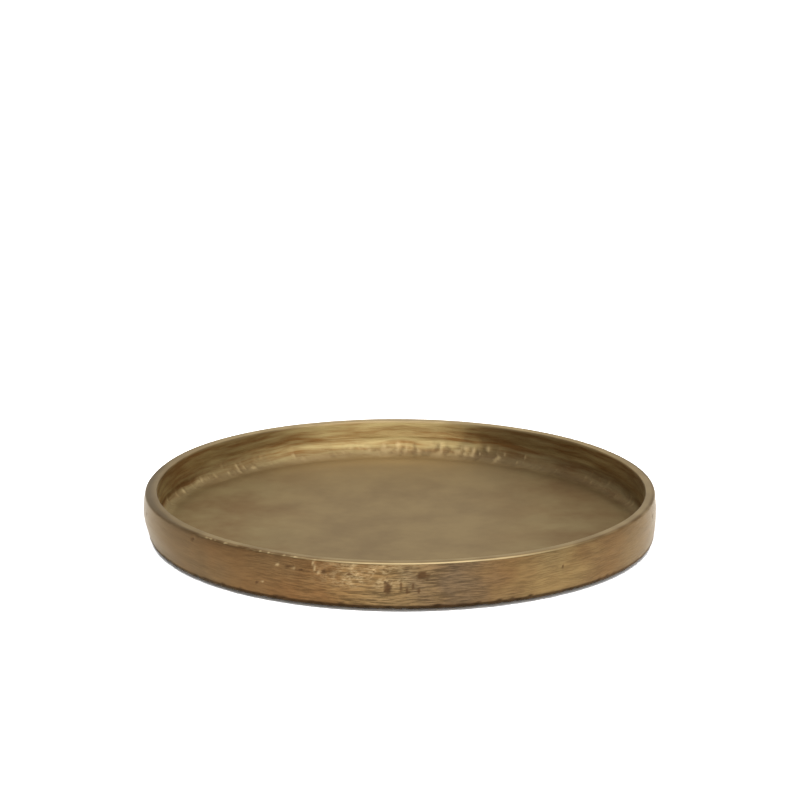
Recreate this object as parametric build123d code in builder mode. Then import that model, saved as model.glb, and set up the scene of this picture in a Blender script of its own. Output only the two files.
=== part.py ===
from build123d import *
from math import cos, radians, sin, tan
import os

# A round, low-walled plate sand-cast in one piece, about as wide as a dinner plate and a thumb's
# width high. It has no moving parts. The casting stands on self-adhesive felt pads, and each pad is
# a felt disc with its own thin disc of adhesive between the felt and the metal.
#
# Frame: millimetres, +Z up. The origin is on the surface that the plate stands on, under its centre,
# and Z is the axis that the casting is round about.

# Whole plate
overall_diameter = 300.0
overall_height = 29.0

# Casting
floor_thickness = 5.5
rim_wall = 5.5
rim_setback = 1.2  # the rim's outer edge stands this far inside the widest part of the wall
foot_setback = 2.0  # and the wall's foot this far inside it
swell_share = 0.6  # the wall is widest this far up the casting
inner_draft = 2.0  # degrees that the wall leans outwards inside, so that it leaves the sand
rim_outer_rounding = 1.0
rim_inner_rounding = 0.8
inner_corner_radius = 11.0
foot_edge_radius = 2.0

# Felt pads
pad_diameter = 20.0
felt_thickness = 1.5
felt_edge_rounding = 0.3
adhesive_thickness = 0.2
adhesive_inset = 0.5  # the adhesive stops this far inside the felt's edge
pad_margin = 12.0  # from the edge of the flat underside to the pad
pad_angles = {"right_back": 45, "left_back": 135, "left_front": 225, "right_front": 315}

# Heights and radii that follow from those sizes
underside_z = felt_thickness + adhesive_thickness
floor_z = underside_z + floor_thickness
swell_z = underside_z + (overall_height - underside_z) * swell_share
widest_radius = overall_diameter / 2
rim_outer = widest_radius - rim_setback
rim_inner = rim_outer - rim_wall
foot_outer = widest_radius - foot_setback
floor_edge = rim_inner - (overall_height - floor_z) * tan(radians(inner_draft))
pad_radius = pad_diameter / 2
pad_circle_radius = foot_outer - foot_edge_radius - pad_margin - pad_radius


def export_piece(piece, name):
    """Labels one finished piece with its name and writes it as its own STEP file."""
    piece.part.label = name
    export_step(piece.part, f"parts/{name}.step")


os.makedirs("parts", exist_ok=True)

# The casting: floor, wall and rim turned from one closed outline. The wall's outside is two arcs
# that meet upright where it is widest.
widest = (widest_radius, swell_z)
rim_outer_corner = (rim_outer, overall_height)
rim_inner_corner = (rim_inner, overall_height)
inner_corner = (floor_edge, floor_z)
foot_corner = (foot_outer, underside_z)
corner_roundings = {
    rim_outer_corner: rim_outer_rounding,
    rim_inner_corner: rim_inner_rounding,
    inner_corner: inner_corner_radius,
    foot_corner: foot_edge_radius,
}

with BuildPart() as plate_casting:
    with BuildSketch(Plane.XZ) as section:
        with BuildLine():
            TangentArc(widest, foot_corner, tangent=(0, -1))
            TangentArc(widest, rim_outer_corner, tangent=(0, 1))
            Polyline(
                rim_outer_corner,
                rim_inner_corner,
                inner_corner,
                (0, floor_z),
                (0, underside_z),
                foot_corner,
            )
        make_face()
        for corner, rounding in corner_roundings.items():
            fillet(section.vertices().sort_by_distance(corner)[0], radius=rounding)
    revolve(axis=Axis.Z)
export_piece(plate_casting, "plate_casting")

# The pads: a felt disc on the surface below, and its adhesive disc up against the flat underside.
for place, angle in pad_angles.items():
    pad_centre = (pad_circle_radius * cos(radians(angle)), pad_circle_radius * sin(radians(angle)))

    with BuildPart() as felt_pad:
        with BuildSketch():
            with Locations(pad_centre):
                Circle(pad_radius)
        extrude(amount=felt_thickness)
        fillet(felt_pad.edges().group_by(Axis.Z)[0], radius=felt_edge_rounding)
    export_piece(felt_pad, f"felt_pad_{place}")

    with BuildPart() as pad_adhesive:
        with BuildSketch(Plane.XY.offset(felt_thickness)):
            with Locations(pad_centre):
                Circle(pad_radius - adhesive_inset)
        extrude(amount=adhesive_thickness)
    export_piece(pad_adhesive, f"pad_adhesive_{place}")
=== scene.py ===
"""The looks of a sand-cast paten plate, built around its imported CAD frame.

The plate is one aluminium sand casting with an antique bronze finish: a flat floor, a low wall that
was linished by hand, and an inner corner left much as it came out of the sand. It stands on four
self-adhesive felt pads. Lengths are in metres, and -Y is the side towards the camera.
"""

import logging
import math
import random
from dataclasses import dataclass, field
from enum import Enum
from typing import Any, ClassVar

import bmesh
import bpy
from mathutils import Matrix, Quaternion, Vector, noise
from mathutils.kdtree import KDTree


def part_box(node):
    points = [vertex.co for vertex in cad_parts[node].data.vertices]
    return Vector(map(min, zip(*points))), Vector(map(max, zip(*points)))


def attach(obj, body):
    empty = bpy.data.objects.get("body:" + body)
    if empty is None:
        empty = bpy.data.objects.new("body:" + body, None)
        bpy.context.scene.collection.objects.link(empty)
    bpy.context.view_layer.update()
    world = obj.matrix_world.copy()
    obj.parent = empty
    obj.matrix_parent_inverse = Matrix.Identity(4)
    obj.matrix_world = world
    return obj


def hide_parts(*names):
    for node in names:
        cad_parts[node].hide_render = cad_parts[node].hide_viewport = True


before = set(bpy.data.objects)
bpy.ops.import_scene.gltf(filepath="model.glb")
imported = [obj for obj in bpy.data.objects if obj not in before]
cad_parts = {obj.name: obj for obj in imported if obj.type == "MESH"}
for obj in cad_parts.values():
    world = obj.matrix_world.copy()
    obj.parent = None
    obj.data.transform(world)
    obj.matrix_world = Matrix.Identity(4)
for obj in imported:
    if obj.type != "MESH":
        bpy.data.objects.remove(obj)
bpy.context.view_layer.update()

MM = 0.001
PLACES = ("right_back", "left_back", "left_front", "right_front")

log = logging.getLogger("paten_plate")


# ------------------------------------------------------------------------------------------ helpers


def linear(colour: str) -> tuple[float, float, float, float]:
    """Turns an sRGB colour into linear light.

    Args:
        colour: The colour as "#rrggbb".

    Returns:
        Its linear red, green, blue and an alpha of one.
    """
    shares = [int(colour[i : i + 2], 16) / 255 for i in (1, 3, 5)]
    return (*(s / 12.92 if s <= 0.04045 else ((s + 0.055) / 1.055) ** 2.4 for s in shares), 1.0)


def add_node(
    tree: bpy.types.NodeTree, kind: str, inputs: dict | None = None, **settings: Any
) -> bpy.types.Node:
    """Adds one shader node.

    Args:
        tree: The node tree that gets it.
        kind: The node's type, without the leading "ShaderNode".
        inputs: Values, or the sockets to link, for its inputs by name or number.
        settings: The node's own properties.

    Returns:
        The new node.
    """
    node = tree.nodes.new(f"ShaderNode{kind}")
    for name, value in settings.items():
        setattr(node, name, value)
    for key, value in (inputs or {}).items():
        if isinstance(value, bpy.types.NodeSocket):
            tree.links.new(value, node.inputs[key])
        else:
            node.inputs[key].default_value = value
    return node


def smooth_step(low: float, high: float, value: float) -> float:
    """Eases a value into a share.

    Args:
        low: Where the share is 0; it may be the larger.
        high: Where the share is 1.
        value: The value.

    Returns:
        The share, which leaves 0 and reaches 1 gently.
    """
    share = min(max((value - low) / (high - low), 0.0), 1.0)
    return share * share * (3.0 - 2.0 * share)


def rough(place: Vector, pitch: float) -> float:
    """Gives noise from about -1 to 1, whose features are about a pitch wide."""
    return noise.noise(place / pitch)


@dataclass(frozen=True)
class Stretch:
    """A stretch of the plate's round, where something is strongest in the middle.

    The middle and the half width are in degrees round from the front, positive to the right.
    """

    middle: float
    half_width: float
    strength: float = 1.0

    def at(self, bearing: float) -> float:
        """Gives its strength at a bearing, which fades to nought half a width from its middle."""
        away = abs((bearing - self.middle + 180.0) % 360.0 - 180.0)
        return self.strength * smooth_step(self.half_width, 0.0, away)


@dataclass(frozen=True)
class Grain:
    """Unevenness that is alike in all directions: its depth, and how wide its features are."""

    depth: float
    pitch: float

    def at(self, place: Vector) -> float:
        """Gives how far it lifts the skin at a place."""
        return self.depth * rough(place, self.pitch)


@dataclass(frozen=True)
class Cloud:
    """Soft-edged patches at random: how wide they are, and the noise where they start and are full."""

    pitch: float
    start: float
    full: float

    def at(self, place: Vector) -> float:
        """Gives the share of a patch at a place, from 0 to 1."""
        return smooth_step(self.start, self.full, rough(place, self.pitch))


@dataclass(frozen=True)
class Ripple:
    """Unevenness that runs round the plate: its depth, and how wide and tall its swells are."""

    depth: float
    across: float
    up: float

    def at(self, place: Vector, radius: float) -> float:
        """Gives how far it lifts a wall of some radius at a place."""
        turn = place.xy.normalized() * (radius / self.across)
        return self.depth * noise.noise(Vector((turn.x, turn.y, place.z / self.up)))


def finished_object(
    bm: bmesh.types.BMesh, name: str, finishes: list[bpy.types.Material]
) -> bpy.types.Object:
    """Turns a finished bmesh into a shown object that rides on the plate.

    Args:
        bm: The mesh, which is freed.
        name: The piece's name.
        finishes: Its materials, in the order of its faces' material numbers.

    Returns:
        The object, at the origin.
    """
    mesh = bpy.data.meshes.new(name)
    bmesh.ops.recalc_face_normals(bm, faces=bm.faces)
    for face in bm.faces:
        face.smooth = True
    bm.to_mesh(mesh)
    bm.free()
    for finish in finishes:
        mesh.materials.append(finish)
    piece = bpy.data.objects.new(name, mesh)
    bpy.context.scene.collection.objects.link(piece)
    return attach(piece, "root")


# ----------------------------------------------------------------------------------------- finishes


class Working(Enum):
    """How the metal was worked last, which decides how it spreads light."""

    LINISHED = "lines run round the wall, so that light is spread up and down"
    SCOURED = "rubbed in all directions, so that light is spread evenly"


def new_material(name: str) -> tuple[bpy.types.Material, bpy.types.NodeTree, bpy.types.NodeSocket]:
    """Makes an empty material.

    Args:
        name: Its name.

    Returns:
        The material, its node tree and the socket of the place on the piece.
    """
    material = bpy.data.materials.new(name)
    material.use_nodes = True
    tree = material.node_tree
    tree.nodes.clear()
    return material, tree, add_node(tree, "TexCoord").outputs["Object"]


@dataclass(frozen=True)
class Pattern:
    """A noise pattern in a material: its height, for relief, and its share from 0 to 1, for colour."""

    height: bpy.types.NodeSocket
    share: bpy.types.NodeSocket


@dataclass(frozen=True)
class AntiqueBronze:
    """Bronze plating over cast aluminium, browned in a bath and relieved by hand.

    Rubbing back leaves high spots and edges golden and hollows brown. It isn't lacquered, so it has
    the soft, coloured gloss of bare metal. The colours vary from place to place with how long each
    part lay in the bath, and with painted light and painted shade laid on as colour. PlateCasting says
    where by the marks that it stores on its vertices.
    """

    floor_light: str = "#8d7a59"
    floor_dark: str = "#806d50"
    wall_golden: str = "#735f3e"
    wall_red: str = "#5f4429"
    wall_grey: str = "#534432"
    inner_golden: str = "#b9a776"
    inner_brown: str = "#8c683c"
    brown: str = "#432f1d"
    # The rubbed colour of real wear, also used for painted light and painted highlights.
    relieved_and_highlight: str = "#d3bb8c"
    edge: str = "#e6e0d4"  # bare metal grows paler where it is seen at a slant
    painted_shade_kept: float = 0.3  # how much of the colour is left under the painted shade along the foot
    linished_roughness: float = 0.42
    scoured_roughness: float = 0.54
    burnished_roughness: float = 0.30
    linished_spread: float = 0.7  # anisotropy: how much further light spreads up than along
    spread_turn: float = 0.25  # a quarter turn: light spreads across the lines
    grit_line: float = 0.6 * MM  # pitch of the linishing lines; real ones are 0.2 mm, too fine to show
    grit_length: float = 8 * MM
    grit_depth: float = 0.3 * MM
    grit_contrast: float = 0.5
    wander: float = 5 * MM  # how far the lines wander up and down
    wander_pitch: float = 40 * MM
    smear: float = 3.4 * MM  # height of the soft streaks that the bath left on the wall
    smear_length: float = 38 * MM
    smear_shade: float = 0.08
    inner_line_share: float = 0.14  # the inside was linished less, and shows smears more than lines
    blotch: float = 26 * MM
    sand_grain: float = 0.8 * MM
    torn_length: float = 2.4 * MM  # the belt draws grains out along the wall
    grain_depth: float = 0.2 * MM
    rubbed_share: float = 0.30
    browned_share: float = 0.34
    # Noise keeps near 0.5. What lies within its reach of that is spread over the whole way from 0 to 1.
    blotch_reach: float = 0.17
    smear_reach: float = 0.15
    line_reach: float = 0.10
    grain_reach: float = 0.15

    def material(self, working: Working) -> bpy.types.Material:
        """Builds the finish for a face that was worked in one way.

        Args:
            working: How it was worked.

        Returns:
            The material, which reads the marks that PlateCasting stores on its vertices.
        """
        material, tree, place = new_material(f"antique_bronze_{working.name.lower()}")
        marks = {
            name: add_node(tree, "Attribute", attribute_name=name).outputs["Fac"]
            for name in PlateCasting.MARKS
        }

        # Linishing runs round the wall, so its lines are long across and fine up and down.
        level = self._wandering(tree, place)
        blotches = self._pattern(tree, place, self.blotch, self.blotch, self.blotch_reach)
        smears = self._pattern(tree, level, self.smear_length, self.smear, self.smear_reach)
        lines = self._pattern(tree, level, self.grit_length, self.grit_line, self.line_reach)
        grain = self._pattern(tree, level, self.torn_length, self.sand_grain, self.grain_reach)

        finish = {
            "Base Color": self._colour(tree, marks, blotches, smears, lines, grain),
            "Metallic": 1.0,
            "Specular Tint": linear(self.edge),
            "Normal": self._relief(tree, marks, lines, grain),
        }
        if working is Working.SCOURED:
            finish["Roughness"] = self.scoured_roughness
        else:
            burnished = {0: marks["wear_and_painted_light"], 2: self.linished_roughness, 3: self.burnished_roughness}
            finish["Roughness"] = add_node(tree, "Mix", burnished).outputs[0]
            finish["Anisotropic"] = self.linished_spread
            finish["Anisotropic Rotation"] = self.spread_turn
            finish["Tangent"] = add_node(tree, "Tangent", direction_type="RADIAL", axis="Z").outputs[0]
        shader = add_node(tree, "BsdfPrincipled", finish)
        add_node(tree, "OutputMaterial", {"Surface": shader.outputs[0]})
        return material

    def _colour(
        self,
        tree: bpy.types.NodeTree,
        marks: dict[str, bpy.types.NodeSocket],
        blotches: Pattern,
        smears: Pattern,
        lines: Pattern,
        grain: Pattern,
    ) -> bpy.types.NodeSocket:
        """Colours the metal: what the bath left, then what rubbing back and polish did to it.

        Args:
            tree: The material's node tree.
            marks: The sockets of the marks on the vertices.
            blotches: The cloudiness of the floor.
            smears: The streaks that the bath left on the wall.
            lines: The linishing lines.
            grain: The grain of the sand.

        Returns:
            The colour's socket.
        """
        floor = self._coats(tree, linear(self.floor_dark), (blotches.share, linear(self.floor_light)))
        bath = self._coats(
            tree,
            linear(self.wall_red),
            (marks["gilded"], linear(self.wall_golden)),
            (marks["greyed"], linear(self.wall_grey)),
        )
        smeared = {0: smears.share, 3: 1 - self.smear_shade, 4: 1 + self.smear_shade}
        shade = add_node(tree, "MapRange", smeared).outputs[0]
        line = add_node(tree, "Math", {0: lines.share, 1: 0.5}, operation="SUBTRACT").outputs[0]
        line = add_node(tree, "Math", {0: line, 1: marks["grit"]}, operation="MULTIPLY").outputs[0]
        lined = {0: line, 1: self.grit_contrast, 2: shade}
        shade = add_node(tree, "Math", lined, operation="MULTIPLY_ADD").outputs[0]
        wall = add_node(tree, "VectorMath", {0: bath, "Scale": shade}, operation="SCALE").outputs[0]
        streak = add_node(tree, "Mix", {0: self.inner_line_share, 2: smears.share, 3: lines.share})
        streaked = (streak.outputs[0], linear(self.inner_golden))
        inner = self._coats(tree, linear(self.inner_brown), streaked)

        # On cast skin the grains are rubbed bright, and the bath stays brown between them.
        rubbed = {0: grain.share, 1: marks["cast_skin"]}
        rubbed = add_node(tree, "Math", rubbed, operation="MULTIPLY").outputs[0]
        between = {0: marks["cast_skin"], 1: rubbed}
        between = add_node(tree, "Math", between, operation="SUBTRACT").outputs[0]
        bright = add_node(tree, "Math", {0: rubbed, 1: self.rubbed_share}, operation="MULTIPLY")
        dull = add_node(tree, "Math", {0: between, 1: self.browned_share}, operation="MULTIPLY")
        colour = self._coats(
            tree,
            floor,
            (marks["outer_wall"], wall),
            (marks["inner_wall"], inner),
            (bright.outputs[0], linear(self.relieved_and_highlight)),
            (dull.outputs[0], linear(self.brown)),
            # Brown stands for patina in real pits and hollows and also for painted shade; the rubbed
            # colour stands for real wear and also for painted light and highlights.
            (marks["hollow_and_painted_shade"], linear(self.brown)),
            (marks["wear_and_painted_light"], linear(self.relieved_and_highlight)),
        )
        # Painted shade: the colour is darkened along the foot, where the plate stands in its own shadow.
        kept = add_node(tree, "Mix", {0: marks["painted_foot_shade"], 2: 1.0, 3: self.painted_shade_kept}).outputs[0]
        return add_node(tree, "VectorMath", {0: colour, "Scale": kept}, operation="SCALE").outputs[0]

    def _relief(
        self,
        tree: bpy.types.NodeTree,
        marks: dict[str, bpy.types.NodeSocket],
        lines: Pattern,
        grain: Pattern,
    ) -> bpy.types.NodeSocket:
        """Raises the lines and the cast grain, which are too fine for the mesh.

        Args:
            tree: The material's node tree.
            marks: The sockets of the marks on the vertices.
            lines: The linishing lines.
            grain: The grain of the sand.

        Returns:
            The normal's socket.
        """
        bump = {}
        for pattern, mark, depth in (
            (lines, marks["grit"], self.grit_depth),
            (grain, marks["cast_skin"], self.grain_depth),
        ):
            height = add_node(tree, "Math", {0: pattern.height, 1: mark}, operation="MULTIPLY").outputs[0]
            bump |= {"Height": height, "Strength": 1.0, "Distance": depth}
            bump = {"Normal": add_node(tree, "Bump", bump).outputs[0]}
        return bump["Normal"]

    def _wandering(
        self, tree: bpy.types.NodeTree, place: bpy.types.NodeSocket
    ) -> bpy.types.NodeSocket:
        """Shifts places slowly up and down, because a belt held by hand doesn't run dead level.

        Args:
            tree: The material's node tree.
            place: The socket of the place on the plate.

        Returns:
            The shifted place's socket.
        """
        slow = {"Vector": place, "Scale": 1 / self.wander_pitch, "Detail": 1.0}
        shift = {0: add_node(tree, "TexNoise", slow).outputs["Color"], 1: (0.0, 0.0, self.wander)}
        drift = add_node(tree, "VectorMath", shift, operation="MULTIPLY").outputs[0]
        return add_node(tree, "VectorMath", {0: place, 1: drift}, operation="ADD").outputs[0]

    @staticmethod
    def _pattern(
        tree: bpy.types.NodeTree,
        place: bpy.types.NodeSocket,
        length: float,
        height: float,
        reach: float,
    ) -> Pattern:
        """Adds noise whose features are long round the plate and as tall as they are said to be.

        Args:
            tree: The material's node tree.
            place: The socket of the place on the plate.
            length: How long its features are.
            height: How tall they are.
            reach: How far from 0.5 the noise is spread over the whole way from 0 to 1.

        Returns:
            The pattern.
        """
        stretch = {"Vector": place, "Scale": (1 / length, 1 / length, 1 / height)}
        along = add_node(tree, "Mapping", stretch).outputs[0]
        fractal = {"Vector": along, "Scale": 1.0, "Detail": 3.0, "Roughness": 0.6}
        raised = add_node(tree, "TexNoise", fractal).outputs["Fac"]
        spread = add_node(tree, "MapRange", {0: raised, 1: 0.5 - reach, 2: 0.5 + reach})
        return Pattern(raised, spread.outputs[0])

    @staticmethod
    def _coats(tree: bpy.types.NodeTree, first: Any, *coats: tuple[Any, Any]) -> bpy.types.NodeSocket:
        """Lays colours over one another.

        Args:
            tree: The material's node tree.
            first: The lowest colour, or its socket.
            coats: Each further coat's share and colour, or their sockets.

        Returns:
            The colour's socket.
        """
        colour = first
        for share, tone in coats:
            coat = {0: share, 6: colour, 7: tone}
            colour = add_node(tree, "Mix", coat, data_type="RGBA").outputs[2]
        return colour


@dataclass(frozen=True)
class PressedFelt:
    """Dense wool felt, dyed dark brown, with a matt, faintly hairy face."""

    dark: str = "#2b231d"
    light: str = "#4a3f35"
    fibre: float = 0.35 * MM
    nap: float = 0.25 * MM
    roughness: float = 0.95
    sheen: float = 0.4  # loose fibres catch the light at a slant

    def material(self) -> bpy.types.Material:
        """Builds the finish.

        Returns:
            The material.
        """
        material, tree, place = new_material("pressed_wool_felt")
        tangled = {
            "Vector": place,
            "Scale": 1 / self.fibre,
            "Detail": 4.0,
            "Roughness": 0.7,
            "Distortion": 2.5,
        }
        fibres = add_node(tree, "TexNoise", tangled).outputs["Fac"]
        share = add_node(tree, "MapRange", {0: fibres, 1: 0.3, 2: 0.7}).outputs[0]
        colour = add_node(
            tree, "Mix", {0: share, 6: linear(self.dark), 7: linear(self.light)}, data_type="RGBA"
        ).outputs[2]
        bump = add_node(tree, "Bump", {"Height": fibres, "Strength": 1.0, "Distance": self.nap})
        finish = {
            "Base Color": colour,
            "Roughness": self.roughness,
            "Sheen Weight": self.sheen,
            "Normal": bump.outputs[0],
        }
        shader = add_node(tree, "BsdfPrincipled", finish)
        add_node(tree, "OutputMaterial", {"Surface": shader.outputs[0]})
        return material


@dataclass(frozen=True)
class AcrylicAdhesive:
    """A film of pressure-sensitive acrylic adhesive, milky amber, with trapped air in patches."""

    clear: str = "#b9a67c"
    milky: str = "#d6ccb2"
    patch: float = 2.5 * MM
    ior: float = 1.47

    def material(self) -> bpy.types.Material:
        """Builds the finish.

        Returns:
            The material.
        """
        material, tree, place = new_material("acrylic_adhesive_film")
        patches = add_node(
            tree, "TexNoise", {"Vector": place, "Scale": 1 / self.patch, "Detail": 3.0}
        ).outputs["Fac"]
        share = add_node(tree, "MapRange", {0: patches, 1: 0.4, 2: 0.6}).outputs[0]
        colour = add_node(
            tree, "Mix", {0: share, 6: linear(self.clear), 7: linear(self.milky)}, data_type="RGBA"
        ).outputs[2]
        gloss = add_node(tree, "MapRange", {0: patches, 1: 0.3, 2: 0.7, 3: 0.25, 4: 0.5}).outputs[0]
        shader = add_node(
            tree, "BsdfPrincipled", {"Base Color": colour, "Roughness": gloss, "IOR": self.ior}
        )
        add_node(tree, "OutputMaterial", {"Surface": shader.outputs[0]})
        return material


# ------------------------------------------------------------------------------------------ casting


class Zone(Enum):
    """The parts of the casting's skin, each finished in its own way."""

    FLOOR = "floor, scoured smooth"
    CORNER = "inner corner, left as cast and dressed with a small tool"
    INNER_WALL = "inside of the wall"
    RIM = "rim, filed level by hand"
    OUTER_WALL = "outside of the wall, linished"
    FOOT = "lower edge, broken by hand"
    UNDERSIDE = "underside, as cast"


@dataclass(frozen=True)
class Pit:
    """A gas hole in the outside of the wall, or a burr where its depth is below nought.

    The bearing is in degrees round from the front, positive to the right; the rest is in millimetres.
    """

    bearing: float
    height: float
    width: float
    tall: float
    depth: float


@dataclass(frozen=True)
class Patch:
    """A stretch of the outside of the wall that the bath coloured in its own way.

    Gilded runs from 0, red, to 1, golden, and greyed from 0 to 1. Grit is how deep the linishing
    lines are, with 1 as usual.
    """

    where: Stretch
    gilded: float
    greyed: float
    grit: float = 1.0


@dataclass
class PlateCasting:
    """The casting: floor, wall and rim in one closed skin, with what casting and finishing left on it."""

    # Some marks carry light and shade as well as the metal's own colour: the wear mark also holds painted
    # light and highlights, the hollows' mark also holds painted shade, and the foot's mark holds only
    # painted shade.
    MARKS: ClassVar[tuple[str, ...]] = (
        "outer_wall", "inner_wall", "cast_skin", "wear_and_painted_light", "hollow_and_painted_shade", "painted_foot_shade", "gilded", "greyed", "grit"
    )
    floor_thickness: float = 5.5 * MM
    rim_wall: float = 5.5 * MM
    rim_setback: float = 1.2 * MM
    foot_setback: float = 2.0 * MM
    swell_share: float = 0.6
    inner_draft: float = 2.0
    rim_outer_rounding: float = 1.0 * MM
    rim_inner_rounding: float = 0.8 * MM
    inner_corner_radius: float = 11.0 * MM
    foot_edge_radius: float = 2.0 * MM
    sectors: int = 24
    steps_round: int = 864
    steps_middle: int = 216
    weld: float = 0.05 * MM
    seam: float = 0.001 * MM
    flat_within: float = 0.05 * MM
    fine_ring: float = 22 * MM  # width of the ring beside the wall that has the full number of steps
    wall_pitch: float = 0.9 * MM
    flat_pitch: float = 1.6 * MM
    middle_pitch: float = 4.0 * MM
    seed: int = 7
    pits: tuple[Pit, ...] = (
        Pit(-2.4, 14.8, 4.8, 9.4, 0.8),
        Pit(4.8, 21.6, 8.6, 4.6, 0.7),
        Pit(0.5, 16.4, 1.6, 4.6, 0.3),
        Pit(1.7, 13.2, 1.5, 4.4, 0.35),
        Pit(2.9, 15.8, 1.4, 3.8, 0.3),
        Pit(4.1, 13.0, 1.8, 4.4, 0.35),
        Pit(-10.6, 21.6, 3.4, 1.8, 0.35),
        Pit(-31.5, 10.4, 2.8, 2.4, 0.35),
        Pit(-24.0, 22.4, 3.6, 1.6, 0.3),
        Pit(-21.0, 21.4, 2.4, 1.4, 0.3),
        Pit(37.0, 18.0, 1.8, 2.6, 0.25),
        Pit(-18.3, 26.0, 2.2, 2.6, -0.25),
        Pit(-17.9, 23.4, 1.6, 3.6, -0.35),
        Pit(-17.0, 21.2, 2.0, 2.2, -0.25),
        Pit(-16.0, 22.2, 2.4, 3.0, 0.4),
        Pit(-26.5, 22.6, 2.4, 1.4, -0.25),
        Pit(-22.6, 22.0, 2.2, 1.4, -0.25),
        Pit(-30.2, 11.6, 1.8, 1.4, -0.25),
        Pit(-50.5, 25.0, 2.4, 1.6, 0.4),
    )
    random_pits: int = 22
    random_size: tuple[float, float] = (1.2, 2.6)
    random_bearing: tuple[float, float] = (66, 285)  # the sides and the back: those in front are named
    random_height: tuple[float, float] = (6, 24)
    random_stretch: tuple[float, float] = (0.8, 1.8)
    random_depth: float = 0.13  # of the size
    pit_ragged: Grain = Grain(0.8, 1.6 * MM)
    pit_brown: float = 0.9
    burr_rubbed: float = 0.28
    patches: tuple[Patch, ...] = (
        Patch(Stretch(-84, 30), 0.75, 0.80, 0.2),
        Patch(Stretch(-56, 22), 0.40, 0.70, 0.2),
        Patch(Stretch(-37, 20), 0.25, 0.15, 0.4),
        Patch(Stretch(-22, 14), 0.05, 0.0, 0.8),
        Patch(Stretch(-9, 14), 0.45, 0.0, 1.5),
        Patch(Stretch(2, 10), 0.65, 0.35, 1.6),
        Patch(Stretch(12, 12), 0.30, 0.95, 1.3),
        Patch(Stretch(23, 12), 0.35, 0.30, 0.8),
        Patch(Stretch(35, 16), 0.90, 0.0, 0.5),
        Patch(Stretch(50, 16), 0.30, 0.20, 0.5),
        Patch(Stretch(72, 26), 0.45, 0.45, 0.4),
    )
    bath_ragged: float = 6.0  # how far, in degrees, the patches' edges wander
    bath_stray: float = 0.9  # how much the bath's colour strays between the patches
    usual_grit: float = 0.7

    # The pattern's slow errors: a thick left side that is tucked in, and an uneven rim.
    tucked: Stretch = Stretch(-92, 62)
    rim_tuck: float = 0.5 * MM
    foot_tuck: float = 1.7 * MM
    full: Stretch = Stretch(62, 42)
    foot_fullness: float = 0.9 * MM
    thick: Stretch = Stretch(-90, 58, 2.0 * MM)
    rim_low: float = 0.35 * MM
    rim_least: float = 0.2 * MM
    rim_wave: Grain = Grain(0.25 * MM, 1 / 2.2)  # pitched on a round of radius 1
    rim_dips: tuple[Stretch, ...] = (Stretch(-92, 34, 0.8 * MM), Stretch(-40, 24, -0.35 * MM))
    slanted: Stretch = Stretch(-85, 50)
    rim_slant: float = 0.9 * MM

    # What casting and hand finishing left on the skin. It is sunk a little, to keep it inside the CAD.
    sunk: float = 0.09 * MM
    outer_sunk: float = 0.06 * MM
    under_sunk: float = 0.05 * MM
    outer_ripples: tuple[Ripple, ...] = (
        Ripple(0.18 * MM, 34 * MM, 11 * MM),
        Ripple(0.05 * MM, 16 * MM, 2 * MM),
    )
    inner_ripples: tuple[Ripple, ...] = (
        Ripple(0.14 * MM, 30 * MM, 4 * MM),
        Ripple(0.25 * MM, 22 * MM, 14 * MM),
    )
    ripples_below: float = 5 * MM  # under the rim, down to here, filing took the ripples away
    filing: Grain = Grain(0.04 * MM, 9 * MM)
    chip: Grain = Grain(0.16 * MM, 2.2 * MM)
    chips_start: tuple[float, float] = (-54, -42)  # the bearings where chips begin and are full
    chips_end: tuple[float, float] = (-14, -22)
    corner_lumps: tuple[Grain, ...] = (
        Grain(0.7 * MM, 15 * MM),
        Grain(0.35 * MM, 34 * MM),
        Grain(0.12 * MM, 1.7 * MM),
    )
    corner_tight: tuple[Stretch, ...] = (Stretch(98, 62, 1.7 * MM), Stretch(256, 44, 0.8 * MM))
    dabbed: tuple[Stretch, ...] = (Stretch(168, 36, 1.0), Stretch(240, 44, 0.7))
    least_dabbed: float = 0.35
    dabs_left_out: Cloud = Cloud(8 * MM, -0.45, 0.2)
    dab: Ripple = Ripple(1.0, 3.6 * MM, 4 * MM)
    dab_grain: Grain = Grain(0.6, 2.2 * MM)
    dab_run: float = 9 * MM  # length of the dabs' pattern from the floor to the wall
    dab_gain: float = 1.6
    dab_depth: float = 0.35 * MM
    foot_grain: Grain = Grain(0.05 * MM, 1.5 * MM)
    foot_chip: float = 0.35 * MM
    foot_chips: Cloud = Cloud(3.5 * MM, 0.0, 0.7)
    floor_swell: Grain = Grain(0.12 * MM, 48 * MM)

    # The outside: grain torn by the belt in front, painted shade low down along the foot, black below and
    # brown above, and painted shade on the left.
    torn: Stretch = Stretch(-7, 15)
    torn_above: tuple[float, float] = (12 * MM, 18 * MM)
    torn_patches: Cloud = Cloud(5 * MM, -0.4, 0.1)
    shaded: tuple[Stretch, ...] = (Stretch(-78, 54, 0.34), Stretch(-37, 25, 0.1))
    foot_shade_top: float = 3.2 * MM  # above the foot
    foot_shade_ragged: Grain = Grain(1.8 * MM, 5 * MM)
    dark_shade_fade: tuple[float, float] = (-0.6 * MM, -1.8 * MM)  # against the top of the painted shade
    brown_shade_fade: tuple[float, float] = (0.0, -2 * MM)
    brown_shade: float = 0.85
    less_shaded: Stretch = Stretch(82, 45, 0.8)

    # The inside of the wall, with the bearings where each stretch of painted shade begins and is full.
    inner_grit: float = 0.35
    inner_shade_ragged: Grain = Grain(5.0, 7 * MM)  # in degrees
    right_shade: float = 0.2
    right_from: tuple[float, float] = (166, 157)
    right_deeper_shade: float = 0.17
    right_deeper_from: tuple[float, float] = (10, 60)
    left_back_shade: float = 0.08
    left_back_from: tuple[float, float] = (194, 204)
    left_back_above: tuple[float, float] = (7 * MM, 15 * MM)  # over the floor
    left_shade: float = 0.2
    left_from: tuple[float, float] = (206, 228)

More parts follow.
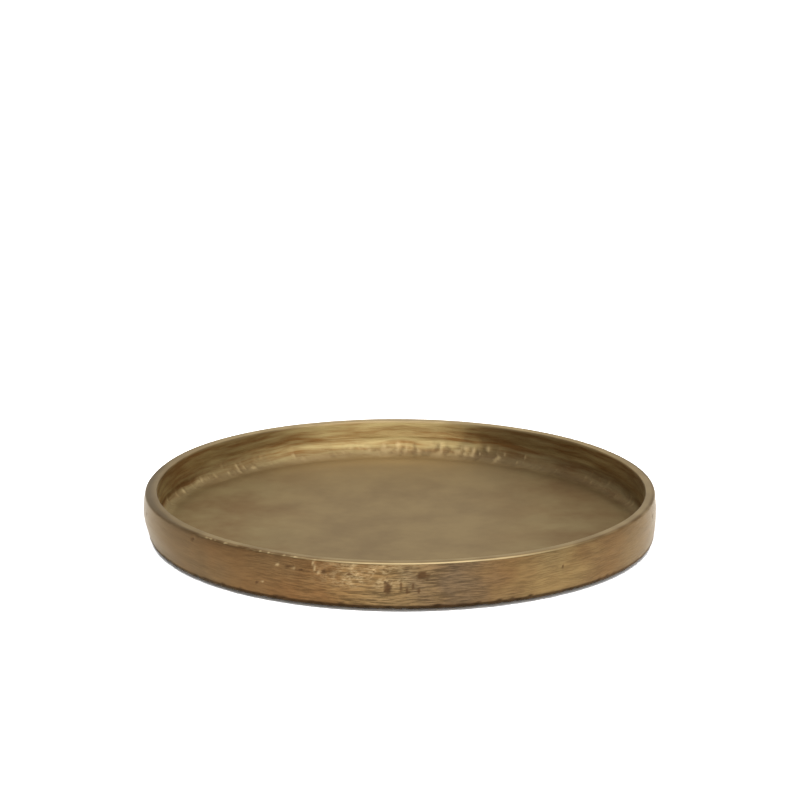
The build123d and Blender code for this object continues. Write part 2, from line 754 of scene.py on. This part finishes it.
    # The rim. Shares of its width run from 0 at its inner edge to 1 at its outer edge.
    scuffs: Cloud = Cloud(14 * MM, -0.35, 0.35)
    # Painted light: the rim's top is lighter at the back.
    rim_back_light: Stretch = Stretch(180, 80, 0.3)
    rim_scuffed: float = 0.12
    # Painted highlight: the rim's outer edge is lighter in front.
    edge_highlight: Stretch = Stretch(8, 44, 0.9)
    edge_scuffed: float = 0.16
    edge_chipped: float = 0.55
    edge_share: tuple[float, float] = (0.84, 0.96)
    wall_share: tuple[float, float] = (0.74, 0.84)  # where the floor's colour gives way to the wall's
    # Painted shade: where the rim slants on the left, the wall's darker colour reaches further in, and it
    # is browned.
    slanted_wall_share: tuple[float, float] = (0.24, 0.54)
    slanted_shade: float = 0.25

    # The floor and the inner corner. Shares are of the widest radius, or of the way round the corner.
    side_share: tuple[float, float] = (0.2, 0.85)
    side_gilded: float = 0.5
    # Painted shade: towards its sides the floor takes the inside's colour and is browned.
    left_side_shade: float = 0.38
    right_side_shade: float = 0.5
    # Painted light: the floor is lightened at the back and in a ring beside the corner, against the
    # wall's shade.
    back_painted_light: Stretch = Stretch(184, 60, 0.28)
    back_share: tuple[float, float] = (0.5, 0.9)
    ring_painted_light: tuple[Stretch, ...] = (
        Stretch(184, 60, 0.32),
        Stretch(225, 50, 0.12),
        Stretch(118, 55, 0.05),
    )
    ring_share: tuple[float, float] = (0.74, 0.87)
    corner_skin: float = 0.4
    skin_patches: Cloud = Cloud(8 * MM, -0.2, 0.5)
    corner_ragged: Grain = Grain(0.12, 4 * MM)
    corner_shaded: tuple[float, float] = (0.06, 0.34)
    corner_gilded: tuple[float, float] = (0.05, 0.7)
    corner_painted_light: tuple[float, float] = (0.7, 0.1)
    dab_rubbed: float = 0.42
    dab_browned: float = 0.35
    finish: AntiqueBronze = field(default_factory=AntiqueBronze)

    def __post_init__(self) -> None:
        """Takes the outside sizes from the frame and works the others out from them."""
        low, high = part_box("plate_casting")
        self.foot_z, self.rim_z = low.z, high.z
        self.widest = high.x
        self.floor_z = self.foot_z + self.floor_thickness
        self.swell_z = self.foot_z + (self.rim_z - self.foot_z) * self.swell_share
        self.rim_outer = self.widest - self.rim_setback
        self.rim_inner = self.rim_outer - self.rim_wall
        self.foot_outer = self.widest - self.foot_setback
        draft = math.tan(math.radians(self.inner_draft))
        self.floor_edge = self.rim_inner - (self.rim_z - self.floor_z) * draft

    # -- the plain shape

    def barrel(self, height: float) -> float:
        """Finds how far the barrelled wall stands outside a straight line from the rim to the foot.

        Args:
            height: The height above the table.

        Returns:
            The distance in metres.
        """
        if height > self.swell_z:
            share, setback = (height - self.swell_z) / (self.rim_z - self.swell_z), self.rim_setback
        else:
            share, setback = (self.swell_z - height) / (self.swell_z - self.foot_z), self.foot_setback
        curved = self.widest - setback * share**2
        rise = (height - self.foot_z) / (self.rim_z - self.foot_z)
        return curved - (self.foot_outer + (self.rim_outer - self.foot_outer) * rise)

    def outline(self) -> bmesh.types.BMesh:
        """Draws half a section of the wall, from the floor over the rim to the underside.

        Returns:
            A bmesh with one open wire, finely divided.
        """
        bm = bmesh.new()
        middle = self.widest - self.fine_ring
        # How far out and up each corner is, and its rounding's radius and segments.
        corners = [
            (middle, self.floor_z, None, 0),
            (self.floor_edge, self.floor_z, self.inner_corner_radius, 20),
            (self.rim_inner, self.rim_z, self.rim_inner_rounding, 4),
            (self.rim_outer, self.rim_z, self.rim_outer_rounding, 4),
            (self.foot_outer, self.foot_z, self.foot_edge_radius, 5),
            (middle, self.foot_z, None, 0),
        ]
        points = [bm.verts.new((across, 0.0, up)) for across, up, _, _ in corners]
        for first, second in zip(points, points[1:]):
            bm.edges.new((first, second))
        for point, (_, _, radius, segments) in zip(points, corners):
            if radius is None:
                continue
            legs = [edge.other_vert(point).co - point.co for edge in point.link_edges]
            reach = radius / math.tan(legs[0].angle(legs[1]) / 2)
            bmesh.ops.bevel(
                bm,
                geom=[point],
                affect="VERTICES",
                offset=reach,
                segments=segments,
                profile=0.5,
                material=-1,
            )
        for edge in list(bm.edges):
            upright = abs(edge.verts[0].co.z - edge.verts[1].co.z) > edge.calc_length() / 2
            cuts = math.ceil(edge.calc_length() / (self.wall_pitch if upright else self.flat_pitch)) - 1
            if cuts > 0:
                bmesh.ops.subdivide_edges(bm, edges=[edge], cuts=cuts)
        for point in bm.verts:
            if point.co.x > self.rim_inner + self.rim_wall / 2 and point.co.z > self.foot_z:
                point.co.x += self.barrel(point.co.z)
        return bm

    def turn(self, wire: bmesh.types.BMesh, steps: int) -> None:
        """Turns a wire a full round about Z.

        One sector is turned in fine steps and then repeated, which gives the same shape as one long
        spin in a fraction of the time.

        Args:
            wire: The wire, which becomes the turned surface.
            steps: How many steps the full round has.
        """
        axis = {"axis": (0.0, 0.0, 1.0), "cent": (0.0, 0.0, 0.0)}
        sector = math.tau / self.sectors
        bmesh.ops.spin(
            wire, geom=wire.verts[:] + wire.edges[:], angle=sector, steps=steps // self.sectors, **axis
        )
        bmesh.ops.spin(
            wire,
            geom=wire.verts[:] + wire.edges[:] + wire.faces[:],
            angle=math.tau - sector,
            steps=self.sectors - 1,
            use_duplicate=True,
            **axis,
        )
        bmesh.ops.remove_doubles(wire, verts=wire.verts, dist=self.seam)

    def middle_disc(self, height: float) -> bmesh.types.BMesh:
        """Makes the middle of the floor or the underside, in coarser steps than the wall.

        Args:
            height: Where it lies.

        Returns:
            A flat disc whose edge has a vertex for each step of the wall.
        """
        disc = bmesh.new()
        reach = self.widest - self.fine_ring
        ends = [disc.verts.new((across, 0.0, height)) for across in (0.0, reach)]
        radius = disc.edges.new(ends)
        bmesh.ops.subdivide_edges(disc, edges=[radius], cuts=round(reach / self.middle_pitch) - 1)
        self.turn(disc, self.steps_middle)
        edge = [e for e in disc.edges if e.is_boundary]
        bmesh.ops.subdivide_edges(disc, edges=edge, cuts=self.steps_round // self.steps_middle - 1)
        return disc

    def turned(self) -> bmesh.types.BMesh:
        """Turns the outline about Z and closes the floor and the underside.

        Returns:
            The plain shape.
        """
        bm = self.outline()
        self.turn(bm, self.steps_round)
        for height in (self.floor_z, self.foot_z):
            disc, carried = self.middle_disc(height), bpy.data.meshes.new("middle_disc")
            disc.to_mesh(carried)
            disc.free()
            bm.from_mesh(carried)
            bpy.data.meshes.remove(carried)
        bmesh.ops.remove_doubles(bm, verts=[v for v in bm.verts if v.is_boundary], dist=self.weld)
        bmesh.ops.recalc_face_normals(bm, faces=bm.faces)
        return bm

    # -- the marks of casting and finishing

    def zone_of(self, point: bmesh.types.BMVert) -> Zone:
        """Finds which part of the skin a vertex belongs to.

        Args:
            point: The vertex, on the plain shape.

        Returns:
            The zone.
        """
        radius, height = point.co.xy.length, point.co.z
        if height < self.foot_z + self.flat_within and radius < self.foot_outer - self.foot_edge_radius:
            return Zone.UNDERSIDE
        if height < self.foot_z + self.foot_edge_radius:
            return Zone.FOOT
        if radius > self.rim_inner + self.rim_wall / 2 and height < self.rim_z - self.rim_outer_rounding:
            return Zone.OUTER_WALL
        if height > self.rim_z - self.rim_outer_rounding:
            return Zone.RIM
        if height > self.floor_z + self.inner_corner_radius:
            return Zone.INNER_WALL
        if radius > self.floor_edge - self.inner_corner_radius:
            return Zone.CORNER
        return Zone.FLOOR

    @staticmethod
    def bearing(place: Vector) -> float:
        """Gives the degrees round from the front, positive to the right."""
        return math.degrees(math.atan2(place.x, -place.y))

    def corner_run(self, place: Vector) -> float:
        """Finds how far round the inner corner a place is.

        Args:
            place: The place on the plain shape.

        Returns:
            The share, from 0 at the floor to 1 at the wall.
        """
        centre_r = self.floor_edge - self.inner_corner_radius
        centre_z = self.floor_z + self.inner_corner_radius
        angle = math.atan2(place.xy.length - centre_r, centre_z - place.z)
        return min(max(angle / (math.pi / 2), 0.0), 1.0)

    def chipped(self, place: Vector) -> float:
        """Finds the chips on the front left of the rim.

        Args:
            place: The place on the plain shape.

        Returns:
            The chips there, from -1, sunk, to 1, raised.
        """
        bearing = self.bearing(place)
        stretch = smooth_step(*self.chips_start, bearing) * smooth_step(*self.chips_end, bearing)
        return stretch * rough(place, self.chip.pitch)

    def filed(self, place: Vector) -> float:
        """Gives the unevenness that filing left on the rim, with its chips."""
        return self.filing.at(place) + self.chip.depth * self.chipped(place)

    def dabs(self, place: Vector) -> float:
        """Finds the upright dabs that a small round tool left in the inner corner.

        They are deepest at the back and fade towards the floor and the wall.

        Args:
            place: The place on the plain shape.

        Returns:
            The dabs there, from -1, sunk, to 1, raised.
        """
        run, bearing = self.corner_run(place), self.bearing(place)
        strength = self.least_dabbed + sum(stretch.at(bearing) for stretch in self.dabbed)
        strength *= self.dabs_left_out.at(place)
        flat = Vector((place.x, place.y, run * self.dab_run))
        pattern = self.dab.at(flat, self.widest) + self.dab_grain.at(flat)
        return min(max(self.dab_gain * strength * math.sin(math.pi * run) ** 2 * pattern, -1.0), 1.0)

    def inner_shade(self, place: Vector) -> float:
        """Finds the painted shade on the inside of the wall, painted as brown: least at the back, most at
        the right.

        Args:
            place: The place on the plain shape.

        Returns:
            The share of painted shade, from 0 to 1.
        """
        bearing = self.bearing(place) % 360 + self.inner_shade_ragged.at(place)
        right = self.right_shade + self.right_deeper_shade * smooth_step(*self.right_deeper_from, bearing)
        right *= smooth_step(*self.right_from, bearing)
        left_back = self.left_back_shade * smooth_step(*self.left_back_from, bearing)
        left_back *= smooth_step(*self.left_back_above, place.z - self.floor_z)
        left = self.left_shade * smooth_step(*self.left_from, bearing)
        return right + max(left_back, left)

    def wall_relief(self, ripples: tuple[Ripple, ...], sunk: float, place: Vector) -> float:
        """Finds the relief of a wall's side, which passes into the filed rim.

        Args:
            ripples: The unevenness of that side.
            sunk: How far it is sunk by itself.
            place: The place on the plain shape.

        Returns:
            The height in metres.
        """
        swells = sum(ripple.at(place, self.widest) for ripple in ripples) - sunk
        lip_z = self.rim_z - self.rim_outer_rounding
        below = smooth_step(lip_z, self.rim_z - self.ripples_below, place.z)
        return below * swells + (1 - below) * self.filed(place) - self.sunk

    def corner_relief(self, place: Vector) -> float:
        """Finds the relief of the inner corner: lumps, dabs, and a tighter radius at the sides.

        Args:
            place: The place on the plain shape.

        Returns:
            The height in metres.
        """
        run, bearing = self.corner_run(place), self.bearing(place)
        swell = math.sin(math.pi * min(run * 1.15, 1.0)) ** 2  # lumps end before the wall does
        lumps = swell * sum(lump.at(place) for lump in self.corner_lumps)
        tight = math.sin(math.pi * run) ** 2 * sum(stretch.at(bearing) for stretch in self.corner_tight)
        return lumps - tight + self.dab_depth * self.dabs(place)

    def relief(self, zone: Zone, place: Vector) -> float:
        """Finds how far the skin stands out of the plain shape, as it was cast and worked.

        Args:
            zone: The part of the skin.
            place: The place on the plain shape.

        Returns:
            The height in metres, below nought where metal was taken away.
        """
        if zone is Zone.OUTER_WALL:
            return self.wall_relief(self.outer_ripples, self.outer_sunk, place)
        if zone is Zone.INNER_WALL:
            return self.wall_relief(self.inner_ripples, 0.0, place)
        if zone is Zone.CORNER:
            return self.corner_relief(place)
        if zone is Zone.RIM:
            return self.filed(place) - self.sunk
        if zone is Zone.FOOT:
            return self.foot_grain.at(place) - self.foot_chip * self.foot_chips.at(place)
        if zone is Zone.UNDERSIDE:
            return -self.under_sunk
        return smooth_step(0.0, self.widest / 4, place.xy.length) * self.floor_swell.at(place)

    # -- what the finish needs to know

    def bath_marks(self, place: Vector) -> dict[str, float]:
        """Marks how the bath coloured the outside: as its patches say, and at random between them.

        Args:
            place: The place on the plain shape.

        Returns:
            The marks by name.
        """
        bearing = self.bearing(place) + self.bath_ragged * rough(place, 9 * MM)
        parts = [(patch.where.at(bearing), patch) for patch in self.patches]
        total = sum(part for part, _ in parts)
        stray = 0.5 + self.bath_stray * rough(place, 24 * MM)
        marks = {}
        for name, usual in (("gilded", stray), ("greyed", 0.6 * (1 - stray)), ("grit", self.usual_grit)):
            known = sum(part * getattr(patch, name) for part, patch in parts)
            value = (known + usual * max(1 - total, 0)) / max(total, 1)
            marks[name] = min(max(value + 0.25 * (stray - 0.5), 0.0), 2.0)
        return marks

    def outer_marks(self, place: Vector) -> dict[str, float]:
        """Marks the outside of the wall: torn grain in front, and painted shade low down and on the left.

        Args:
            place: The place on the plain shape.

        Returns:
            The marks by name.
        """
        bearing = self.bearing(place)
        torn = self.torn.at(bearing) * smooth_step(*self.torn_above, place.z)
        # Painted shade: black along the foot, less of it on the right, and brown just above it.
        above = place.z - (self.foot_z + self.foot_shade_top + self.foot_shade_ragged.at(place))
        brown_shaded = self.brown_shade * smooth_step(*self.brown_shade_fade, above)
        return self.bath_marks(place) | {
            "outer_wall": 1.0,
            "cast_skin": torn * self.torn_patches.at(place),
            "painted_foot_shade": smooth_step(*self.dark_shade_fade, above) * (1 - self.less_shaded.at(bearing)),
            "hollow_and_painted_shade": max(brown_shaded, sum(stretch.at(bearing) for stretch in self.shaded)),
        }

    def inner_marks(self, place: Vector) -> dict[str, float]:
        """Marks the inside of the wall."""
        return {"inner_wall": 1.0, "grit": self.inner_grit, "hollow_and_painted_shade": self.inner_shade(place)}

    def rim_marks(self, place: Vector) -> dict[str, float]:
        """Marks the rim: filed bright, with painted light at the back, a painted highlight on its outer
        edge in front and painted shade where it slants on the left, and without grit.

        Args:
            place: The place on the plain shape.

        Returns:
            The marks by name.
        """
        bearing = self.bearing(place)
        outwards = (place.xy.length - self.rim_inner) / self.rim_wall
        slanted = self.slanted.at(bearing)
        scuffs = self.scuffs.at(place) * (1 - slanted)
        chips = smooth_step(0.05, 0.4, self.chipped(place))
        edge = self.edge_highlight.at(bearing) + self.edge_scuffed * scuffs + self.edge_chipped * chips
        flat = self.rim_back_light.at(bearing) + self.rim_scuffed * scuffs
        wear_and_painted_light = flat + (edge - flat) * smooth_step(*self.edge_share, outwards)
        pairs = zip(self.wall_share, self.slanted_wall_share)
        wall_share = (level + (slant - level) * slanted for level, slant in pairs)
        return self.bath_marks(place) | {
            "outer_wall": smooth_step(*wall_share, outwards),
            "hollow_and_painted_shade": self.slanted_shade * slanted,
            "wear_and_painted_light": min(wear_and_painted_light, 1.0),
            "grit": 0.0,
        }

    def foot_marks(self, place: Vector) -> dict[str, float]:
        """Marks the lower edge with painted shade, black and dark brown.

        Args:
            place: The place on the plain shape.

        Returns:
            The marks by name.
        """
        less_shaded = self.less_shaded.at(self.bearing(place))
        return self.bath_marks(place) | {
            "outer_wall": 1.0,
            "hollow_and_painted_shade": 0.8 + 0.2 * rough(place, 6 * MM),
            "painted_foot_shade": (0.8 + 0.4 * rough(place, 4 * MM)) * (1 - less_shaded),
        }

    def underside_marks(self, place: Vector) -> dict[str, float]:
        """Marks the underside, which is as it was cast."""
        return {"cast_skin": 1.0}

    def floor_marks(self, place: Vector) -> dict[str, float]:
        """Marks the floor: painted shade towards its sides, and painted light at the back and near the
        corner.

        Args:
            place: The place on the plain shape.

        Returns:
            The marks by name.
        """
        bearing, outwards = self.bearing(place), place.xy.length / self.widest
        sides = smooth_step(*self.side_share, abs(place.x) / self.widest)
        brown = self.right_side_shade if place.x > 0 else self.left_side_shade
        # Painted light at the back and in a ring by the corner.
        back = self.back_painted_light.at(bearing) * smooth_step(*self.back_share, outwards)
        ring = max(stretch.at(bearing) for stretch in self.ring_painted_light)
        return {
            "inner_wall": self.side_gilded * sides,
            "hollow_and_painted_shade": brown * sides,
            "wear_and_painted_light": back + ring * smooth_step(*self.ring_share, outwards),
        }

    def corner_marks(self, place: Vector) -> dict[str, float]:
        """Marks the inner corner, which passes from the floor's finish into the wall's.

        Args:
            place: The place on the plain shape.

        Returns:
            The marks by name.
        """
        run, dabs, floor = self.corner_run(place), self.dabs(place), self.floor_marks(place)
        middle = math.sin(math.pi * run)
        # Across the corner the floor's painted shade passes into the inside's painted shade, and the
        # floor's painted light fades out.
        share = smooth_step(*self.corner_shaded, run + self.corner_ragged.at(place))
        brown = floor["hollow_and_painted_shade"] * (1 - share) + self.inner_shade(place) * (1 + middle) * share
        rubbed = floor["wear_and_painted_light"] * smooth_step(*self.corner_painted_light, run)
        return {
            "cast_skin": self.corner_skin * self.skin_patches.at(place) * middle,
            "inner_wall": max(floor["inner_wall"], smooth_step(*self.corner_gilded, run)),
            "hollow_and_painted_shade": max(brown, self.dab_browned * smooth_step(-0.1, -0.7, dabs)),
            "wear_and_painted_light": max(rubbed, self.dab_rubbed * smooth_step(0.05, 0.65, dabs)),
        }

    def lean(self, place: Vector) -> Vector:
        """Finds how the pattern's slow errors move a place.

        Args:
            place: The place on the plain shape.

        Returns:
            The move.
        """
        bearing, out, radius = self.bearing(place), place.xy.normalized().to_3d(), place.xy.length
        rise = smooth_step(self.floor_z, self.rim_z, place.z)
        low = smooth_step(self.swell_z, self.foot_z, place.z)
        outside = radius > self.rim_inner + self.rim_wall / 2
        underneath = low > 0.9 and place.z < self.floor_z - 1 * MM
        move = Vector((0.0, 0.0, 0.0))
        if outside or underneath:
            tuck = (self.rim_tuck + self.foot_tuck * low) * self.tucked.at(bearing)
            tuck -= self.foot_fullness * low * self.full.at(bearing)
            move -= tuck * smooth_step(self.widest * 0.86, self.widest * 0.97, radius) * out
        elif rise > 0:
            move -= self.thick.at(bearing) * smooth_step(0.0, 0.3, rise) * out
        dip = self.rim_low + self.rim_wave.at(out) + sum(dip.at(bearing) for dip in self.rim_dips)
        slant = self.rim_slant * self.slanted.at(bearing)
        slant *= smooth_step(self.rim_inner, self.rim_outer, radius)
        move.z -= (max(dip, self.rim_least) + slant) * rise
        return move

    def sculpt(self, bm: bmesh.types.BMesh) -> None:
        """Moves the skin as casting and hand finishing left it, and stores what the finish needs.

        Args:
            bm: The turned shape.
        """
        layers = {name: bm.verts.layers.float.new(name) for name in self.MARKS}
        marks_of = {
            Zone.FLOOR: self.floor_marks,
            Zone.CORNER: self.corner_marks,
            Zone.INNER_WALL: self.inner_marks,
            Zone.RIM: self.rim_marks,
            Zone.OUTER_WALL: self.outer_marks,
            Zone.FOOT: self.foot_marks,
            Zone.UNDERSIDE: self.underside_marks,
        }
        bm.normal_update()
        zones = {point: self.zone_of(point) for point in bm.verts}
        shifts = {}
        for point, zone in zones.items():
            for name, value in marks_of[zone](point.co).items():
                point[layers[name]] = value
            shifts[point] = point.normal * self.relief(zone, point.co) + self.lean(point.co)
        linished = (Zone.OUTER_WALL, Zone.INNER_WALL, Zone.RIM)
        for face in bm.faces:
            face.material_index = 0 if all(zones[point] in linished for point in face.verts) else 1
        for point, shift in shifts.items():
            point.co += shift
        self.pit(zones, layers)

    def random_pit(self, draw: random.Random) -> Pit:
        """Draws one pit for the sides or the back.

        Args:
            draw: The source of random numbers.

        Returns:
            The pit.
        """
        size = draw.uniform(*self.random_size)
        bearing, height = draw.uniform(*self.random_bearing), draw.uniform(*self.random_height)
        width = size * draw.uniform(*self.random_stretch)
        return Pit(bearing, height, width, size, size * self.random_depth)

    def pit(self, zones: dict[bmesh.types.BMVert, Zone], layers: dict) -> None:
        """Sinks the pits into the outside of the wall, and raises the burrs.

        Args:
            zones: The zone of each vertex.
            layers: The vertex layers of the marks by name.
        """
        draw = random.Random(self.seed)
        wall = [point for point, zone in zones.items() if zone is Zone.OUTER_WALL]
        tree = KDTree(len(wall))
        for index, point in enumerate(wall):
            tree.insert(point.co, index)
        tree.balance()
        for pit in (*self.pits, *(self.random_pit(draw) for _ in range(self.random_pits))):
            angle = math.radians(pit.bearing)
            out = Vector((math.sin(angle), -math.cos(angle), 0.0))
            along = Vector((math.cos(angle), math.sin(angle), 0.0))
            centre = out * self.widest + Vector((0.0, 0.0, pit.height * MM))
            mark = layers["hollow_and_painted_shade" if pit.depth > 0 else "wear_and_painted_light"]
            full = self.pit_brown if pit.depth > 0 else self.burr_rubbed
            for _, index, _ in tree.find_range(centre, max(pit.width, pit.tall) * 0.8 * MM):
                point = wall[index]
                away = point.co - centre
                across = away.dot(along) / (pit.width * MM / 2)
                up = away.z / (pit.tall * MM / 2)
                spread = math.hypot(across, up) * (1 + self.pit_ragged.at(point.co))
                share = smooth_step(1.15, 0.4, spread)
                point.co -= out * share * pit.depth * MM
                point[mark] = max(point[mark], full * share)

    def build(self) -> bpy.types.Object:
        """Builds the casting.

        Returns:
            Its object.
        """
        bm = self.turned()
        self.sculpt(bm)
        finishes = [self.finish.material(working) for working in (Working.LINISHED, Working.SCOURED)]
        piece = finished_object(bm, "plate_casting_skin", finishes)
        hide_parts("plate_casting")
        return piece


# --------------------------------------------------------------------------------------------- pads


@dataclass
class FeltPads:
    """The four felt discs that the plate stands on, and the adhesive that holds each one."""

    edge_rounding: float = 0.3 * MM
    edge_segments: int = 3
    steps_round: int = 96
    rings: int = 4
    ring_share: float = 0.18
    felt: PressedFelt = field(default_factory=PressedFelt)
    adhesive: AcrylicAdhesive = field(default_factory=AcrylicAdhesive)

    def disc(self, node: str) -> bmesh.types.BMesh:
        """Cuts one felt disc in the space that its CAD solid holds.

        Args:
            node: The CAD node that it stands for.

        Returns:
            The disc, in place.
        """
        low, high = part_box(node)
        middle, radius, thickness = (low + high) / 2, (high.x - low.x) / 2, high.z - low.z
        bm = bmesh.new()
        bmesh.ops.create_circle(
            bm,
            cap_ends=True,
            segments=self.steps_round,
            radius=radius,
            matrix=Matrix.Translation((middle.x, middle.y, low.z)),
        )
        raised = bmesh.ops.extrude_face_region(bm, geom=bm.faces[:])["geom"]
        top = [v for v in raised if isinstance(v, bmesh.types.BMVert)]
        bmesh.ops.translate(bm, vec=(0.0, 0.0, thickness), verts=top)
        lips = [e for e in bm.edges if abs(e.verts[0].co.z - e.verts[1].co.z) < 0.01 * MM]
        bmesh.ops.bevel(
            bm,
            geom=lips,
            affect="EDGES",
            offset=self.edge_rounding,
            segments=self.edge_segments,
            profile=0.5,
            material=-1,
        )
        for _ in range(self.rings):
            faces = [f for f in bm.faces if len(f.verts) > 4]
            bmesh.ops.inset_region(
                bm,
                faces=faces,
                thickness=radius * self.ring_share,
                use_even_offset=True,
                use_boundary=True,
            )
        return bm

    def build(self) -> list[bpy.types.Object]:
        """Builds the discs and dresses the adhesive.

        Returns:
            The felt discs' objects.
        """
        felt, adhesive = self.felt.material(), self.adhesive.material()
        made = []
        for place in PLACES:
            node = f"felt_pad_{place}"
            piece = finished_object(self.disc(node), f"felt_disc_{place}", [felt])
            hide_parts(node)
            made.append(piece)
            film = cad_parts[f"pad_adhesive_{place}"]
            for slot in film.material_slots:
                slot.material = adhesive
        return made


# ------------------------------------------------------------------------------------------- studio


@dataclass(frozen=True)
class Glow:
    """One side of the room: its axis, the stretch of that axis where it comes up, and its level."""

    axis: str
    start: float
    full: float
    level: float


@dataclass
class Studio:
    """A white table in soft light, seen from a little above.

    Angles are in degrees. Light levels are against white paper in plain light as 1.
    """

    elevation: float = 17.2
    distance: float = 2.0
    lens: float = 153.2  # in millimetres, as is the sensor
    sensor: float = 36.0
    aim_height: float = 0.080
    roll: float = -0.3
    table_side: float = 6.0
    table_white: float = 0.9
    table_roughness: float = 0.9
    room: float = 0.55
    behind: Glow = Glow("Y", -0.1, 0.8, 1.05)
    at_left: Glow = Glow("X", -0.3, -0.95, 0.38)
    at_right: Glow = Glow("X", 0.3, 0.95, 0.7)
    above: Glow = Glow("Z", 0.3, 0.85, 1.1)
    front_place: tuple[float, float, float] = (0.28, -1.53, 0.69)
    front_size: tuple[float, float] = (2.8, 1.24)
    front_level: float = 2.1
    table_light_strength: float = 3.0
    table_light_spread: float = 12.0
    table_light_bearing: float = 30.0
    table_light_elevation: float = 62.0

    def camera(self) -> bpy.types.Object:
        """Places the camera and makes it the scene's.

        Returns:
            The camera.
        """
        data = bpy.data.cameras.new("camera")
        data.lens = self.lens
        data.sensor_width = self.sensor
        camera = bpy.data.objects.new("camera", data)
        up = math.radians(self.elevation)
        camera.location = (0.0, -self.distance * math.cos(up), self.distance * math.sin(up))
        towards = Vector((0.0, 0.0, self.aim_height)) - camera.location
        camera.rotation_mode = "QUATERNION"
        tilt = Quaternion(towards, math.radians(self.roll))
        camera.rotation_quaternion = tilt @ towards.to_track_quat("-Z", "Y")
        bpy.context.scene.collection.objects.link(camera)
        bpy.context.scene.camera = camera
        return camera

    def table(self) -> bpy.types.Object:
        """Lays the white table top, which isn't part of the plate.

        Returns:
            The table top.
        """
        bm = bmesh.new()
        bmesh.ops.create_grid(bm, x_segments=1, y_segments=1, size=self.table_side / 2)
        mesh = bpy.data.meshes.new("table_top")
        bm.to_mesh(mesh)
        bm.free()
        material = bpy.data.materials.new("white_table")
        material.use_nodes = True
        shader = material.node_tree.nodes["Principled BSDF"]
        shader.inputs["Base Color"].default_value = (*(self.table_white,) * 3, 1.0)
        shader.inputs["Roughness"].default_value = self.table_roughness
        mesh.materials.append(material)
        table = bpy.data.objects.new("table_top", mesh)
        bpy.context.scene.collection.objects.link(table)
        return table

    def soft_box(
        self, name: str, place: tuple[float, float, float], size: tuple[float, float], radiance: float
    ) -> bpy.types.Object:
        """Hangs one soft box that faces the plate.

        Args:
            name: Its name.
            place: Where its middle is.
            size: Its width and height.
            radiance: How bright its face is.

        Returns:
            The light.
        """
        data = bpy.data.lights.new(name, "AREA")
        data.shape = "RECTANGLE"
        data.size, data.size_y = size
        data.energy = radiance * math.pi * size[0] * size[1]
        light = bpy.data.objects.new(name, data)
        light.location = place
        light.rotation_mode = "QUATERNION"
        light.rotation_quaternion = (-Vector(place)).to_track_quat("-Z", "Y")
        bpy.context.scene.collection.objects.link(light)
        return light

    def sky(self) -> bpy.types.World:
        """Makes the room, brighter behind the plate than beside it and dimmest on the left.

        Returns:
            The world.
        """
        world = bpy.data.worlds.new("studio")
        world.use_nodes = True
        tree = world.node_tree
        way = add_node(tree, "TexCoord").outputs["Generated"]
        parts = add_node(tree, "SeparateXYZ", {0: way}).outputs
        level = self.room
        for glow in (self.behind, self.at_left, self.at_right, self.above):
            ramp = {0: parts[glow.axis], 1: glow.start, 2: glow.full}
            share = add_node(tree, "MapRange", ramp, interpolation_type="SMOOTHSTEP").outputs[0]
            lift = {0: share, 1: glow.level - self.room, 2: level}
            level = add_node(tree, "Math", lift, operation="MULTIPLY_ADD").outputs[0]
        background = tree.nodes["Background"]
        background.inputs["Color"].default_value = (1.0, 1.0, 1.0, 1.0)
        tree.links.new(level, background.inputs["Strength"])
        bpy.context.scene.world = world
        return world

    def table_lights(self, table: bpy.types.Object) -> None:
        """Hangs two lights in front that fall on the table alone and keep it white up to the plate.

        Args:
            table: The table top.
        """
        lit = bpy.data.collections.new("lit_by_table_lights")
        lit.objects.link(table)
        for side, bearing in (("left", -self.table_light_bearing), ("right", self.table_light_bearing)):
            data = bpy.data.lights.new(f"table_light_{side}", "SUN")
            data.energy = self.table_light_strength
            data.angle = math.radians(self.table_light_spread)
            light = bpy.data.objects.new(data.name, data)
            tilt = math.radians(90 - self.table_light_elevation)
            light.rotation_euler = (tilt, 0.0, math.radians(bearing))
            bpy.context.scene.collection.objects.link(light)
            light.light_linking.receiver_collection = lit

    def build(self) -> None:
        """Sets up the table, the room and the lights."""
        bpy.context.scene.view_settings.view_transform = "Standard"
        self.table_lights(self.table())
        self.sky()
        self.soft_box("front_box", self.front_place, self.front_size, self.front_level)


def main() -> None:
    """Builds the scene: camera, casting, pads, then table and light."""
    logging.basicConfig(level=logging.INFO, format="%(name)s: %(message)s")
    studio = Studio()
    studio.camera()
    casting = PlateCasting().build()
    log.info("%s: %d faces", casting.name, len(casting.data.polygons))
    for pad in FeltPads().build():
        log.info("%s: %d faces", pad.name, len(pad.data.polygons))
    studio.build()


if __name__ == "__main__":
    main()
